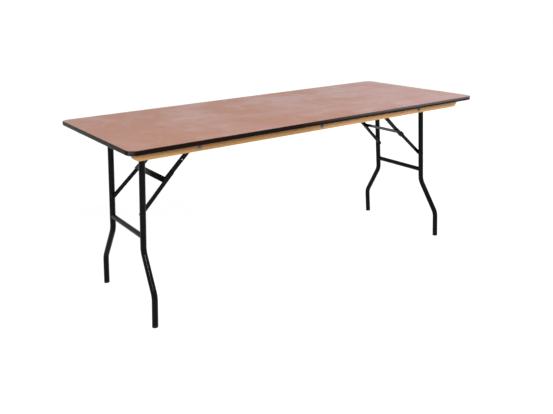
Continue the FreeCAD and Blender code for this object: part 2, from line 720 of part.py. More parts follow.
def make_leg_set(side):
    """The welded leg set of one end, with its feet and the pins that carry the lower struts."""
    across = ("-places.pivot_end", "places.pivot_end", "places.pivot_x", "places.pivot_height")
    pivot = rod("pivot_outside", "places.pivot_radius", *across)
    bore = rod("pivot_bore", "places.pivot_radius - sizes.tube_wall", *across)
    finish(cut("pivot_tube", pivot, bore), f"pivot_tube_{side}", side)
    pins, legs = [], []
    for name in ROWS:
        row = row_sign(side, name)
        pin_at = ("places.leg_pin_x", "places.leg_pin_height")
        span = mirrored_span(row, "places.knee_face + places.bar_step - sizes.strut_gap",
                             "places.leg_y + places.leg_radius")
        shank = rod("leg_pin_shank", "sizes.leg_pin_diameter / 2", *span, *pin_at)
        pin = fuse("leg_pin", shank, *pin_heads("leg_pin_head", span, pin_at))
        pins.append(pin)
        legs.append(make_leg(side, name, shank, pivot))
        make_foot(side, name)
    finish(group("leg_pins", *pins), f"leg_pins_{side}", side)
    across = ("-places.leg_y", "places.leg_y", "places.crossbar_x", "sizes.crossbar_height")
    outside = rod("crossbar_outside", "sizes.crossbar_diameter / 2", *across)
    bore = rod("crossbar_bore", "sizes.crossbar_diameter / 2 - sizes.tube_wall", *across)
    finish(cut("lower_crossbar", outside, group("crossbar_cutters", bore, *legs)),
           f"lower_crossbar_{side}", side)


screws = make_screws()
left_screws = doc.addObject("Part::Mirroring", "left_screws")
left_screws.Source = screws
left_screws.Normal = X_AXIS
all_screws = finish(group("wood_screws", screws, left_screws), "wood_screws")
make_top(all_screws)
make_rail_brackets(make_rails(), finished["rail_bolts"], all_screws)
for side in SIDES:
    make_saddles(side, screws)
    make_hinges(side, screws)
    make_brace(side)
    make_leg_set(side)
doc.recompute()

for item in doc.Objects:
    if "Invalid" in item.State or "Error" in item.State:
        raise RuntimeError(f"{item.Name} failed: {item.State}")
os.makedirs("parts", exist_ok=True)
for label, item in finished.items():
    shape = item.Shape
    if shape.isNull() or not shape.isValid() or not shape.Solids:
        raise RuntimeError(f"{label} has no valid solid")
for label, item in finished.items():
    item.Shape.exportStep(f"parts/{label}.step")
    print(label, len(item.Shape.Solids), "solids", round(item.Shape.Volume / 1000, 2), "cm3")
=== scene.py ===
"""Dresses the folding banquet table: varnished plywood, timber rails, powder-coated tube and zinc
hardware."""

import math

import bpy
from mathutils import Matrix, Vector


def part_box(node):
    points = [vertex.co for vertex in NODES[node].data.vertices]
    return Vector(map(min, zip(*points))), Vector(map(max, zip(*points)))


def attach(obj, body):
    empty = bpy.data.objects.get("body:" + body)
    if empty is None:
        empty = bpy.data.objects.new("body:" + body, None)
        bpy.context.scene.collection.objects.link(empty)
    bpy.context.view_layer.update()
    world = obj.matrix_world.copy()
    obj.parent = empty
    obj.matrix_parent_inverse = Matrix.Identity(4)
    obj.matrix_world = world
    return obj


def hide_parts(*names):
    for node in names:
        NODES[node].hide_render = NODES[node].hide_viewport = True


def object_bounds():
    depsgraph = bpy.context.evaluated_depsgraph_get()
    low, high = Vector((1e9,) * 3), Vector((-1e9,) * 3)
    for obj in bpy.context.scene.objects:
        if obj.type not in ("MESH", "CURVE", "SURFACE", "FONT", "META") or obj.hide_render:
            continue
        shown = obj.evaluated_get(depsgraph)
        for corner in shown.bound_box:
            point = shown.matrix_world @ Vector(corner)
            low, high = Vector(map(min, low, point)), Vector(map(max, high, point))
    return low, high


bl_info = {
    "name": "Folding banquet table",
    "version": (1, 0, 0),
    "blender": (4, 5, 0),
    "location": "3D View > Sidebar > Table",
    "description": "Materials, fasteners, welds and stage for a folding banquet table",
    "category": "Object",
}

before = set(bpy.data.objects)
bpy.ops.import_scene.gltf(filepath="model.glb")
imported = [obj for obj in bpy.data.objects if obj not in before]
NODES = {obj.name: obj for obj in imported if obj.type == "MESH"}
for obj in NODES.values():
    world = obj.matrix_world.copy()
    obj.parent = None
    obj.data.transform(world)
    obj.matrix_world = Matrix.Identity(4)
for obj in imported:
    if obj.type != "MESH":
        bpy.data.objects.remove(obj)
CAD_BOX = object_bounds()
HALF_LENGTH, HALF_WIDTH, TOP = CAD_BOX[1]
SIDES = ("left", "right")
ROWS = ("near", "far")
MM = 0.001
# what a fastener's shank leaves for its chamfered tip
TIP_ROOM = MM

# the kinds of shader node used most, and the sockets of a Mix node that mixes two colours
MAPPING = "ShaderNodeMapping"
NOISE = "ShaderNodeTexNoise"
RANGE = "ShaderNodeMapRange"
MIX = "ShaderNodeMix"
MATH = "ShaderNodeMath"
VECTOR_MATH = "ShaderNodeVectorMath"
SPLIT = "ShaderNodeSeparateXYZ"
BUMP = "ShaderNodeBump"
SHADER = "ShaderNodeBsdfPrincipled"
OUTPUT = "ShaderNodeOutputMaterial"
AMOUNT, UNDER, OVER = 0, 6, 7

# each lamp's name, place in metres, size in metres, watts, and whether it shows in reflections
LAMPS = (
    ("key_lamp", (-1.9, -3.7, 3.6), 0.5, 118, True),
    ("left_lamp", (-3.0, -3.2, 1.85), 0.8, 124, False),
    ("right_lamp", (3.4, -3.4, 1.85), 0.8, 230, False),
    ("back_lamp", (4.0, 2.4, 2.2), 1.8, 48, False),
)
# the camera's place in metres, its turn from north, tilt and roll in degrees, its sensor in
# millimetres, and the distances in metres between which it sees
CAMERA_PLACE = (-1.726822, -2.441019, 1.284888)
CAMERA_TURN = (34.743, -18.785, -1.272)
SENSOR_WIDTH = 36
NEAREST, FARTHEST = 0.05, 200
FLOOR_WIDTH = 60


def colour(code):
    """An sRGB hex code as linear red, green and blue, by the curve of the sRGB standard."""
    channels = [int(code[i:i + 2], 16) / 255 for i in (1, 3, 5)]
    return tuple(c / 12.92 if c <= 0.04045 else ((c + 0.055) / 1.055) ** 2.4 for c in channels)


def swatch(name, description, code):
    return bpy.props.FloatVectorProperty(
        name=name, description=description, subtype="COLOR", size=3, min=0, max=1,
        default=colour(code))


def length(name, description, millimetres):
    return bpy.props.FloatProperty(
        name=name, description=description, unit="LENGTH", subtype="DISTANCE", min=0,
        default=millimetres * MM)


class WoodSettings(bpy.types.PropertyGroup):
    """Colours and grain of the plywood top and the side rails."""
    warm: swatch("Face veneer, warm", "The redder wood of the top's face veneer", "#aa6e52")
    # towards the right end of the top, this pale colour also serves as a painted sheen
    pale: swatch("Face veneer, pale", "The paler, pinker wood of the face veneer", "#bc918c")
    pore: swatch("Face veneer, pores", "The dark open pores of the face veneer", "#7a4c3f")
    smear: swatch("Face veneer, smears", "Pale marks where cups and cloths dulled the varnish",
                  "#c9a892")
    back: swatch("Back veneer", "The unvarnished veneer under the top", "#c9a984")
    early: swatch("Rail, early wood", "The pale wood of the rails' growth rings", "#b58d5e")
    late: swatch("Rail, late wood", "The darker lines of the rails' growth rings", "#93693b")
    fibre: length("Fibre width", "Width of the fine lines in the face veneer", 2.2)
    figure: length("Figure width", "Width of the broad figure in the face veneer", 38)
    cloud: length("Cloud size", "Size of the soft patches in the face veneer", 210)
    ring: length("Ring spacing", "Spacing of the growth rings in the rails", 8)


class FinishSettings(bpy.types.PropertyGroup):
    """Colours of the metal and plastic pieces."""
    powder: swatch("Powder coat", "The baked powder on all the leg and brace steel", "#030303")
    rub: swatch("Rubbed powder", "Where the powder coat is scuffed", "#101010")
    band: swatch("Edge band", "The extruded plastic band round the top", "#130a06")
    # this colour serves both for wear and for the painted highlight, glint and sheen on the band
    wear_and_highlight: swatch("Worn edge band", "Where the band has been knocked and rubbed", "#5c5352")
    plug: swatch("Foot plug", "The moulded plastic plugs in the feet", "#121212")
    dust: swatch("Dust", "Floor dust on the foot plugs", "#33312f")
    zinc: swatch("Zinc", "The zinc plate on the bolts, washers, nuts and screws", "#827f79")
    # this colour is real tarnish on the zinc, and also the painted shade on the right braces'
    # rivets
    tarnish_and_shade: swatch("Tarnished zinc", "Where the zinc has dulled", "#4b4843")
    nickel: swatch("Bright rivet", "The bright plate on the struts' round-headed rivets", "#c9c9c6")
    peel: length("Powder grain", "Spacing of the fine ripples in the powder coat", 1.6)


class HardwareSettings(bpy.types.PropertyGroup):
    """Sizes of the fasteners and of the weld beads."""
    bolt_slot: length("Bolt recess", "Width of the cross recess in the bolt heads", 1.9)
    screw_slot: length("Screw recess", "Width of the cross recess in the screw heads", 1.2)
    screw_rise: length("Screw head rise", "Height of a wood screw's head", 2)
    bead: length("Weld bead", "Half the width of a weld bead", 1.2)


class StageSettings(bpy.types.PropertyGroup):
    """Camera, room light and floor."""
    focal: bpy.props.FloatProperty(
        name="Focal length", description="Of the camera, on a 36 mm wide sensor", min=10,
        default=41.604)
    floor: swatch("Floor", "The pale floor", "#989898")
    sky: bpy.props.FloatProperty(
        name="Room light", description="Light that comes from all round", min=0, default=0.18)
    glow: bpy.props.FloatProperty(
        name="Floor glow",
        description="How much whiter the distant floor looks than its light makes it", min=0,
        default=0.94)


def settings(group):
    return getattr(bpy.context.scene, "table_" + group)


# Making materials


def add(tree, kind, inputs=None, **options):
    """Add a node, set its options, and give each input a value, or the node or socket that feeds
    it."""
    item = tree.nodes.new(kind)
    for name, value in options.items():
        setattr(item, name, value)
    for name, value in (inputs or {}).items():
        socket = item.inputs[name]
        if isinstance(value, bpy.types.Node):
            value = next(output for output in value.outputs if output.enabled)
        if isinstance(value, bpy.types.NodeSocket):
            tree.links.new(value, socket)
        else:
            socket.default_value = (*value, 1) if socket.type == "RGBA" else value
    return item


def new_material(name):
    """An empty material, its tree, and the object's own coordinates to draw patterns on."""
    made = bpy.data.materials.new(name)
    made.use_nodes = True
    made.node_tree.nodes.clear()
    return made, made.node_tree, add(made.node_tree, "ShaderNodeTexCoord").outputs["Object"]


def grain(along, across):
    """The repeats to the metre of a pattern so long along the table and so wide across it."""
    return (1 / along, 1 / across, 1 / across)


def face_veneer():
    """Rotary-cut hardwood plywood under satin varnish: a pink-brown face with long soft figure and
    fine open pores, clouded where cups and cloths dulled the varnish. The bare back veneer is
    paler and rough."""
    wood = settings("wood")
    made, tree, where = new_material("varnished_hardwood_plywood")
    place = add(tree, SPLIT, {"Vector": where})
    # soft patches, redder and paler, a little over the cloud size, turned off the grain and shifted
    # to where they fall best
    patch_turn, patch_shift = (0, 0, 0.3), (5.48, 10.84, 0)
    patches = add(tree, NOISE, {"Vector": add(tree, MAPPING, {
        "Vector": where, "Scale": grain(1.2 * wood.cloud, 1.4 * wood.cloud),
        "Rotation": patch_turn, "Location": patch_shift}),
        "Scale": 1, "Detail": 2, "Distortion": 0.5})
    # the whole sheet is redder towards its left end and paler and pinker towards its right end: a
    # painted sheen of the varnish
    drift = add(tree, RANGE, {"Value": place.outputs["X"], "From Min": CAD_BOX[0].x,
                              "From Max": HALF_LENGTH, "To Min": 0.15, "To Max": -0.15})
    patches_and_sheen = add(tree, MATH, {0: patches, 1: drift})
    warmth = add(tree, RANGE, {"Value": patches_and_sheen, "From Min": 0.38, "From Max": 0.67})
    ground = add(tree, MIX, {AMOUNT: warmth, UNDER: wood.pale, OVER: wood.warm}, data_type="RGBA")
    # the broad wavy figure of rotary-cut veneer
    waves = add(tree, NOISE, {"Vector": add(tree, MAPPING, {
        "Vector": where, "Scale": grain(24 * wood.figure, wood.figure)}),
        "Scale": 1, "Detail": 2, "Distortion": 1.4})
    wave = add(tree, RANGE, {"Value": waves, "From Min": 0.42, "From Max": 0.6, "To Max": 0.4})
    figured = add(tree, MIX, {AMOUNT: wave, UNDER: ground, OVER: wood.warm}, data_type="RGBA")
    # fibres: lines as wide as the fibre size and fifty times as long
    fibres = add(tree, NOISE, {"Vector": add(tree, MAPPING, {
        "Vector": where, "Scale": grain(50 * wood.fibre, wood.fibre)}),
        "Scale": 1, "Detail": 4, "Roughness": 0.6})
    fibre = add(tree, RANGE, {"Value": fibres, "From Min": 0.45, "From Max": 0.75, "To Max": 0.35})
    lined = add(tree, MIX, {AMOUNT: fibre, UNDER: figured, OVER: wood.pore}, data_type="RGBA")
    # pores: short dark dashes, drawn about twice as coarse as real ones so that they show
    pores = add(tree, NOISE, {"Vector": add(tree, MAPPING, {
        "Vector": where, "Scale": grain(8 * wood.fibre, wood.fibre / 2)}),
        "Scale": 1, "Detail": 2})
    pore = add(tree, RANGE, {"Value": pores, "From Min": 0.62, "From Max": 0.72, "To Max": 0.4})
    pored = add(tree, MIX, {AMOUNT: pore, UNDER: lined, OVER: wood.pore}, data_type="RGBA")
    # pale smears about half the cloud size, turned the other way, bent and broken
    smear_turn = (0, 0, -0.5)
    marks = add(tree, NOISE, {"Vector": add(tree, MAPPING, {
        "Vector": where, "Scale": grain(0.5 * wood.cloud, 0.6 * wood.cloud),
        "Rotation": smear_turn}),
        "Scale": 1, "Detail": 2, "Distortion": 1.1})
    mark = add(tree, RANGE, {"Value": marks, "From Min": 0.54, "From Max": 0.72, "To Max": 0.13})
    smeared = add(tree, MIX, {AMOUNT: mark, UNDER: pored, OVER: wood.smear}, data_type="RGBA")
    # the back veneer shows only below the middle of the board
    streak = add(tree, RANGE, {"Value": fibres, "From Min": 0.35, "From Max": 0.7, "To Max": 0.5})
    bare = add(tree, MIX, {AMOUNT: streak, UNDER: wood.back, OVER: wood.late}, data_type="RGBA")
    middle = (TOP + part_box("table_top")[0].z) / 2
    is_top = add(tree, RANGE, {"Value": place.outputs["Z"], "From Min": middle - MM,
                               "From Max": middle + MM})
    shade = add(tree, MIX, {AMOUNT: is_top, UNDER: bare, OVER: smeared}, data_type="RGBA")
    # the varnish is duller in the smears, and the bare back is rough
    varnish = add(tree, RANGE, {"Value": marks, "From Min": 0.3, "From Max": 0.7,
                                "To Min": 0.34, "To Max": 0.46})
    rough = add(tree, RANGE, {"Value": is_top, "To Min": 0.75, "To Max": varnish})
    relief = add(tree, BUMP, {"Strength": 0.12, "Distance": 0.15 * MM, "Height": fibres})
    add(tree, OUTPUT, {"Surface": add(tree, SHADER, {
        "Base Color": shade, "Roughness": rough, "IOR": 1.5, "Specular IOR Level": 0.3,
        "Normal": relief})})
    return made


def rail_timber():
    """Planed softwood under clear varnish: straight growth rings along the rail, a honey colour,
    satin."""
    wood = settings("wood")
    made, tree, where = new_material("varnished_planed_pine")
    # the tone drifts over lengths of most of a metre
    drift = add(tree, NOISE, {"Vector": add(tree, MAPPING, {
        "Vector": where, "Scale": grain(100 * wood.ring, 14 * wood.ring)}),
        "Scale": 1, "Detail": 2})
    # one stretch is a shade darker: its heart lies left of the middle, and it fades both ways
    heart, heart_reach, fade_reach = (share * HALF_LENGTH for share in (0.32, 0.12, 0.62))
    along = add(tree, SPLIT, {"Vector": where}).outputs["X"]
    from_heart = add(tree, MATH, {0: add(tree, MATH, {0: along, 1: heart})}, operation="ABSOLUTE")
    stretch = add(tree, RANGE, {"Value": from_heart, "From Min": heart_reach,
                                "From Max": fade_reach, "To Min": 0.22, "To Max": -0.12})
    darker = add(tree, MATH, {0: drift, 1: stretch})
    drifting = add(tree, RANGE, {"Value": darker, "From Min": 0.35, "From Max": 0.65,
                                 "To Max": 0.65})
    tone = add(tree, MIX, {AMOUNT: drifting, UNDER: wood.early, OVER: wood.late}, data_type="RGBA")
    # growth rings: lines at the ring spacing, over fifty times as long
    rings = add(tree, NOISE, {"Vector": add(tree, MAPPING, {
        "Vector": where, "Scale": grain(55 * wood.ring, wood.ring)}),
        "Scale": 1, "Detail": 5, "Roughness": 0.62, "Distortion": 0.4})
    ring = add(tree, RANGE, {"Value": rings, "From Min": 0.5, "From Max": 0.62, "To Max": 0.5})
    shade = add(tree, MIX, {AMOUNT: ring, UNDER: tone, OVER: wood.late}, data_type="RGBA")
    gloss = add(tree, RANGE, {"Value": drift, "From Min": 0.3, "From Max": 0.7, "To Min": 0.4,
                              "To Max": 0.52})
    relief = add(tree, BUMP, {"Strength": 0.15, "Distance": 0.2 * MM, "Height": ring})
    add(tree, OUTPUT, {"Surface": add(tree, SHADER, {
        "Base Color": shade, "Roughness": gloss, "IOR": 1.5, "Specular IOR Level": 0.3,
        "Normal": relief})})
    return made


def powder_coat():
    """Baked polyester powder on mild steel: near black, semi-gloss, with a fine orange-peel ripple
    that softens the highlight along each tube, and a few dull rubs. Its specular level is low,
    because all the white room shows in it."""
    finish = settings("finish")
    made, tree, where = new_material("black_powder_coat")
    rub_size = 70 * MM
    rubs = add(tree, NOISE, {"Vector": where, "Scale": 1 / rub_size, "Detail": 5,
                             "Roughness": 0.6})
    rub = add(tree, RANGE, {"Value": rubs, "From Min": 0.5, "From Max": 0.75, "To Max": 0.6})
    shade = add(tree, MIX, {AMOUNT: rub, UNDER: finish.powder, OVER: finish.rub}, data_type="RGBA")
    gloss = add(tree, RANGE, {"Value": rubs, "From Min": 0.35, "From Max": 0.7, "To Min": 0.13,
                              "To Max": 0.22})
    peel = add(tree, NOISE, {"Vector": where, "Scale": 1 / finish.peel, "Detail": 1})
    relief = add(tree, BUMP, {"Strength": 0.07, "Distance": 0.05 * MM, "Height": peel})
    add(tree, OUTPUT, {"Surface": add(tree, SHADER, {
        "Base Color": shade, "Roughness": gloss, "IOR": 1.5, "Specular IOR Level": 0.085,
        "Normal": relief})})
    return made


def extruded_band():
    """Extruded vinyl moulding: near black with a brown cast, semi-gloss, with faint drawing lines
    along it. It is paler along the upper edge, where scuffs and a painted highlight on the rounded
    top mix. It has a painted glint at the corners. Over its upper half towards the right end it has
    a painted sheen that stands in for light from the right."""
    finish = settings("finish")
    made, tree, where = new_material("extruded_vinyl_moulding")
    place = add(tree, SPLIT, {"Vector": where})
    rim_depth, sheen_depth, scuff_size = 2 * MM, 13 * MM, 30 * MM
    # the upper edge is paler: partly scuffs, partly a painted highlight on the rounded top
    rim = add(tree, RANGE, {"Value": place.outputs["Z"], "From Min": TOP - rim_depth,
                            "From Max": TOP})
    scuffs = add(tree, NOISE, {"Vector": where, "Scale": 1 / scuff_size, "Detail": 6,
                               "Roughness": 0.7})
    scuff = add(tree, RANGE, {"Value": scuffs, "From Min": 0.42, "From Max": 0.7, "To Min": 0.15,
                              "To Max": 0.7})
    edge = add(tree, MATH, {0: rim, 1: scuff}, operation="MULTIPLY")
    # how far out to the corners: the sum of the distances along the table and across it, which the
    # rounded corners keep some 22 mm short of the tip
    outward = add(tree, VECTOR_MATH, {0: where}, operation="ABSOLUTE")
    reach = add(tree, VECTOR_MATH, {0: outward, 1: (1, 1, 0)}, operation="DOT_PRODUCT")
    tip = HALF_LENGTH + HALF_WIDTH
    # the corners carry a painted glint, scaled by the scuffs
    corner = add(tree, RANGE, {"Value": reach.outputs["Value"], "From Min": tip - 27 * MM,
                               "From Max": tip - 23 * MM, "To Max": scuff})
    knocked_and_glinting = add(tree, MATH, {0: edge, 1: corner}, operation="MAXIMUM")
    # the painted sheen on the upper half, standing in for light from the right: most at the top,
    # and more to the right
    rightward = add(tree, RANGE, {"Value": place.outputs["X"], "From Min": -0.2 * HALF_LENGTH,
                                  "From Max": 0.5 * HALF_LENGTH, "To Max": 0.85})
    painted_sheen = add(tree, RANGE, {"Value": place.outputs["Z"], "From Min": TOP - sheen_depth,
                               "From Max": TOP - rim_depth, "To Max": rightward})
    wear_and_highlight = add(tree, MATH, {0: knocked_and_glinting, 1: painted_sheen}, operation="MAXIMUM")
    shade = add(tree, MIX, {AMOUNT: wear_and_highlight, UNDER: finish.band, OVER: finish.wear_and_highlight}, data_type="RGBA")
    gloss = add(tree, RANGE, {"Value": scuffs, "From Min": 0.3, "From Max": 0.75, "To Min": 0.2,
                              "To Max": 0.34})
    # drawing lines about a millimetre apart, stretched along the band
    line_length, line_spacing = 300 * MM, MM
    drawn = add(tree, NOISE, {"Vector": add(tree, MAPPING, {
        "Vector": where, "Scale": (1 / line_length, 1 / line_length, 1 / line_spacing)}),
        "Scale": 1, "Detail": 2})
    relief = add(tree, BUMP, {"Strength": 0.1, "Distance": 0.08 * MM, "Height": drawn})
    add(tree, OUTPUT, {"Surface": add(tree, SHADER, {
        "Base Color": shade, "Roughness": gloss, "IOR": 1.52, "Specular IOR Level": 0.03,
        "Normal": relief})})
    return made


def moulded_plug():
    """Injection-moulded polyethylene: black, waxy, with a fine spark-eroded grain and floor dust
    on it."""
    finish = settings("finish")
    made, tree, where = new_material("moulded_polyethylene")
    speck_size, spark_size = 8 * MM, 0.7 * MM
    specks = add(tree, NOISE, {"Vector": where, "Scale": 1 / speck_size, "Detail": 4})
    dusty = add(tree, RANGE, {"Value": specks, "From Min": 0.5, "From Max": 0.8, "To Max": 0.4})
    shade = add(tree, MIX, {AMOUNT: dusty, UNDER: finish.plug, OVER: finish.dust},
                data_type="RGBA")
    gloss = add(tree, RANGE, {"Value": specks, "From Min": 0.3, "From Max": 0.7, "To Min": 0.45,
                              "To Max": 0.6})
    sparks = add(tree, NOISE, {"Vector": where, "Scale": 1 / spark_size, "Detail": 2})
    relief = add(tree, BUMP, {"Strength": 0.2, "Distance": 0.05 * MM, "Height": sparks})
    add(tree, OUTPUT, {"Surface": add(tree, SHADER, {
        "Base Color": shade, "Roughness": gloss, "IOR": 1.51, "Specular IOR Level": 0.2,
        "Normal": relief})})
    return made


def plated(name, bright, dull, roughness):
    """Plated steel: a metal whose brightness and gloss wander a little, with fine turning
    marks."""
    made, tree, where = new_material(name)
    patch_size, mark_size, wander = 6 * MM, 0.4 * MM, 0.14
    patches = add(tree, NOISE, {"Vector": where, "Scale": 1 / patch_size, "Detail": 4,
                                "Roughness": 0.6})
    dulling = add(tree, RANGE, {"Value": patches, "From Min": 0.35, "From Max": 0.7,
                                "To Max": 0.8})
    shade = add(tree, MIX, {AMOUNT: dulling, UNDER: bright, OVER: dull}, data_type="RGBA")
    gloss = add(tree, RANGE, {"Value": patches, "From Min": 0.3, "From Max": 0.7,
                              "To Min": roughness, "To Max": roughness + wander})
    turning = add(tree, NOISE, {"Vector": where, "Scale": 1 / mark_size, "Detail": 1})
    relief = add(tree, BUMP, {"Strength": 0.1, "Distance": 0.03 * MM, "Height": turning})
    add(tree, OUTPUT, {"Surface": add(tree, SHADER, {
        "Base Color": shade, "Metallic": 1, "Roughness": gloss, "Normal": relief})})
    return made


def weld_metal():
    """A machine-laid weld under the powder coat: the same black, with the ripples of the weld
    pool."""
    finish = settings("finish")
    made, tree, where = new_material("powder_coated_weld")
    ripple_spacing = 2.4 * MM
    ripples = add(tree, NOISE, {"Vector": where, "Scale": 1 / ripple_spacing, "Detail": 2})
    shade = add(tree, MIX, {AMOUNT: ripples, UNDER: finish.powder, OVER: finish.rub},
                data_type="RGBA")
    relief = add(tree, BUMP, {"Strength": 0.5, "Distance": 0.4 * MM, "Height": ripples})
    add(tree, OUTPUT, {"Surface": add(tree, SHADER, {
        "Base Color": shade, "Roughness": 0.42, "IOR": 1.5, "Specular IOR Level": 0.06,
        "Normal": relief})})
    return made


def looked_at(tree):
    """1 for a ray from the camera, straight or by way of gloss or glass, and 0 for the light that
    falls on things."""
    ray = add(tree, "ShaderNodeLightPath")
    seen = add(tree, MATH, {0: ray.outputs["Is Camera Ray"], 1: ray.outputs["Is Glossy Ray"]},
               operation="MAXIMUM")
    return add(tree, MATH, {0: seen, 1: ray.outputs["Is Transmission Ray"]}, operation="MAXIMUM")


def studio_floor():
    """A matt pale floor. Where it is looked at it also glows, so that it looks white but keeps its
    shadow: less under the table, and more a few metres away."""
    stage = settings("stage")
    made, tree, where = new_material("pale_studio_floor")
    under_share, under_reach, away_reach = 0.88, 1, 6
    away = add(tree, VECTOR_MATH, {0: where}, operation="LENGTH").outputs["Value"]
    spread = add(tree, RANGE, {"Value": away, "From Min": under_reach, "From Max": away_reach,
                               "To Min": stage.glow * under_share, "To Max": stage.glow})
    glow = add(tree, RANGE, {"Value": looked_at(tree), "To Max": spread})
    add(tree, OUTPUT, {"Surface": add(tree, "ShaderNodeAddShader", {
        0: add(tree, "ShaderNodeBsdfDiffuse", {"Color": stage.floor}),
        1: add(tree, "ShaderNodeEmission", {"Strength": glow})})})
    return made


def dress(objects, made):
    """Give objects one material in their first slot."""
    for item in objects:
        item.data.materials.clear()
        item.data.materials.append(made)


def nodes_named(*starts):
    return [NODES[name] for name in sorted(NODES) if name.startswith(starts)]


# Modelling new pieces


def only(*objects):
    """Select just these objects, with the first one active."""
    bpy.ops.object.select_all(action="DESELECT")
    for item in objects:
        item.select_set(True)
    bpy.context.view_layer.objects.active = objects[0]


def apply_all(item):
    """Apply an object's modifiers and then its place, so that it sits at the origin."""
    only(item)
    for modifier in list(item.modifiers):
        bpy.ops.object.modifier_apply(modifier=modifier.name)
    bpy.ops.object.transform_apply(location=True, rotation=True, scale=True)


def smooth(item, degrees):
    """Shade an object smooth, but for the edges that are sharper than this."""
    only(item)
    bpy.ops.object.shade_smooth_by_angle(angle=math.radians(degrees))
    return item


def select_faces(item, wanted):
    """In edit mode, select the faces that a test picks out."""
    bpy.ops.object.mode_set(mode="EDIT")
    bpy.ops.mesh.select_mode(type="FACE")
    bpy.ops.mesh.select_all(action="DESELECT")
    bpy.ops.object.mode_set(mode="OBJECT")
    for face in item.data.polygons:
        face.select = wanted(face)
    bpy.ops.object.mode_set(mode="EDIT")


def cross_recess(reach, width, depth):
    """A cutter for a cross recess whose arms narrow towards the bottom, its mouth at z = 0."""
    narrowing = 0.45
    arms = []
    for turn in (0, math.pi / 2):
        bpy.ops.object.select_all(action="DESELECT")
        bpy.ops.mesh.primitive_cube_add(size=1, rotation=(0, 0, turn))
        arm = bpy.context.object
        arm.scale = (2 * reach, width, 2 * depth)
        apply_all(arm)
        select_faces(arm, lambda face: face.normal.z < -0.5)
        bpy.ops.transform.resize(value=(narrowing, narrowing, 1))
        bpy.ops.object.mode_set(mode="OBJECT")
        arms.append(arm)
    join = arms[0].modifiers.new("join", "BOOLEAN")
    join.operation, join.object = "UNION", arms[1]
    apply_all(arms[0])
    bpy.data.objects.remove(arms[1])
    return arms[0]


def mushroom_head(name, radius, rise, shank, long, recess):
    """A domed fastener head on z = 0 with a cross recess, a rounded rim and its shank below."""
    rim = rise * 0.35
    chamfer = shank * 0.2
    recess_reach, recess_depth = radius * 0.55, rise * 0.6
    bpy.ops.object.select_all(action="DESELECT")
    bpy.ops.mesh.primitive_cylinder_add(vertices=40, radius=radius, depth=rim,
                                        location=(0, 0, rim / 2))
    head = bpy.context.object
    head.name = name
    apply_all(head)
    # the crown: rings drawn in and up from the top face, each by a share of the width and of the
    # rise
    select_faces(head, lambda face: face.normal.z > 0.5)
    for across_share, up_share in ((0.88, 0.30), (0.80, 0.22), (0.62, 0.11), (0.4, 0.02)):
        bpy.ops.mesh.extrude_region_move(
            TRANSFORM_OT_translate={"value": (0, 0, rise * up_share)})
        bpy.ops.transform.resize(value=(across_share, across_share, 1))
    # the shank: drawn in from the bottom face and down, with a chamfered tip
    select_faces(head, lambda face: face.normal.z < -0.5)
    bpy.ops.mesh.inset(thickness=radius - shank)
    bpy.ops.mesh.extrude_region_move(TRANSFORM_OT_translate={"value": (0, 0, -long)})
    bpy.ops.mesh.inset(thickness=chamfer)
    bpy.ops.transform.translate(value=(0, 0, -chamfer))
    bpy.ops.object.mode_set(mode="OBJECT")
    cutter = cross_recess(recess_reach, recess, recess_depth)
    cutter.location = (0, 0, rise)
    slot = head.modifiers.new("recess", "BOOLEAN")
    slot.operation, slot.object = "DIFFERENCE", cutter
    apply_all(head)
    bpy.data.objects.remove(cutter)
    return smooth(head, 30)


def copies(name, model, places, node, made):
    """Copy a model to each place on the top, join the copies, and let them stand for a CAD
    node."""
    placed = []
    for matrix in places:
        copy = model.copy()
        copy.data = model.data.copy()
        bpy.context.collection.objects.link(copy)
        copy.matrix_world = matrix
        placed.append(copy)
    bpy.data.objects.remove(model)
    bpy.context.view_layer.update()
    only(*placed)
    bpy.ops.object.join()
    piece = bpy.context.object
    piece.name = piece.data.name = name
    apply_all(piece)
    dress([piece], made)
    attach(piece, "top")
    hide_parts(node)


def islands(node):
    """The boxes of a CAD node's separate solids, found by merging a copy and parting it."""
    copy = NODES[node].copy()
    copy.data = NODES[node].data.copy()
    bpy.context.collection.objects.link(copy)
    copy.parent = None
    only(copy)
    bpy.ops.object.mode_set(mode="EDIT")
    bpy.ops.mesh.select_all(action="SELECT")
    bpy.ops.mesh.remove_doubles(threshold=0.01 * MM)
    bpy.ops.mesh.separate(type="LOOSE")
    bpy.ops.object.mode_set(mode="OBJECT")
    found = []
    for part in list(bpy.context.selected_objects):
        points = [vertex.co for vertex in part.data.vertices]
        low = Vector([min(point[i] for point in points) for i in range(3)])
        high = Vector([max(point[i] for point in points) for i in range(3)])
        found.append((low, high))
        bpy.data.objects.remove(part)
    return sorted(found, key=lambda ends: tuple(ends[0]))


def facing(point, direction):
    """The matrix that sets a model down at a point, its +Z turned to a direction."""
    turn = Vector(direction).to_track_quat("Z", "Y").to_matrix().to_4x4()
    return Matrix.Translation(point) @ turn


def weld_ring(at, onto, radius, target):
    """A bead round a tube's end: a ring pushed along the tube onto its neighbour, then given
    thickness."""
    bpy.ops.object.select_all(action="DESELECT")
    bpy.ops.mesh.primitive_circle_add(vertices=56, radius=radius, fill_type="NOTHING")
    ring = bpy.context.object
    ring.matrix_world = facing(at, onto)
    wrap = ring.modifiers.new("wrap", "SHRINKWRAP")
    wrap.wrap_method = "PROJECT"
    wrap.target = target
    wrap.use_project_z = True
    wrap.use_positive_direction = True
    wrap.use_negative_direction = False
    apply_all(ring)
    bpy.ops.object.convert(target="CURVE")
    ring = bpy.context.object
    ring.data.bevel_depth = settings("hardware").bead
    ring.data.bevel_resolution = 2
    bpy.ops.object.convert(target="MESH")
    return smooth(bpy.context.object, 60)


# The pieces, one operator each


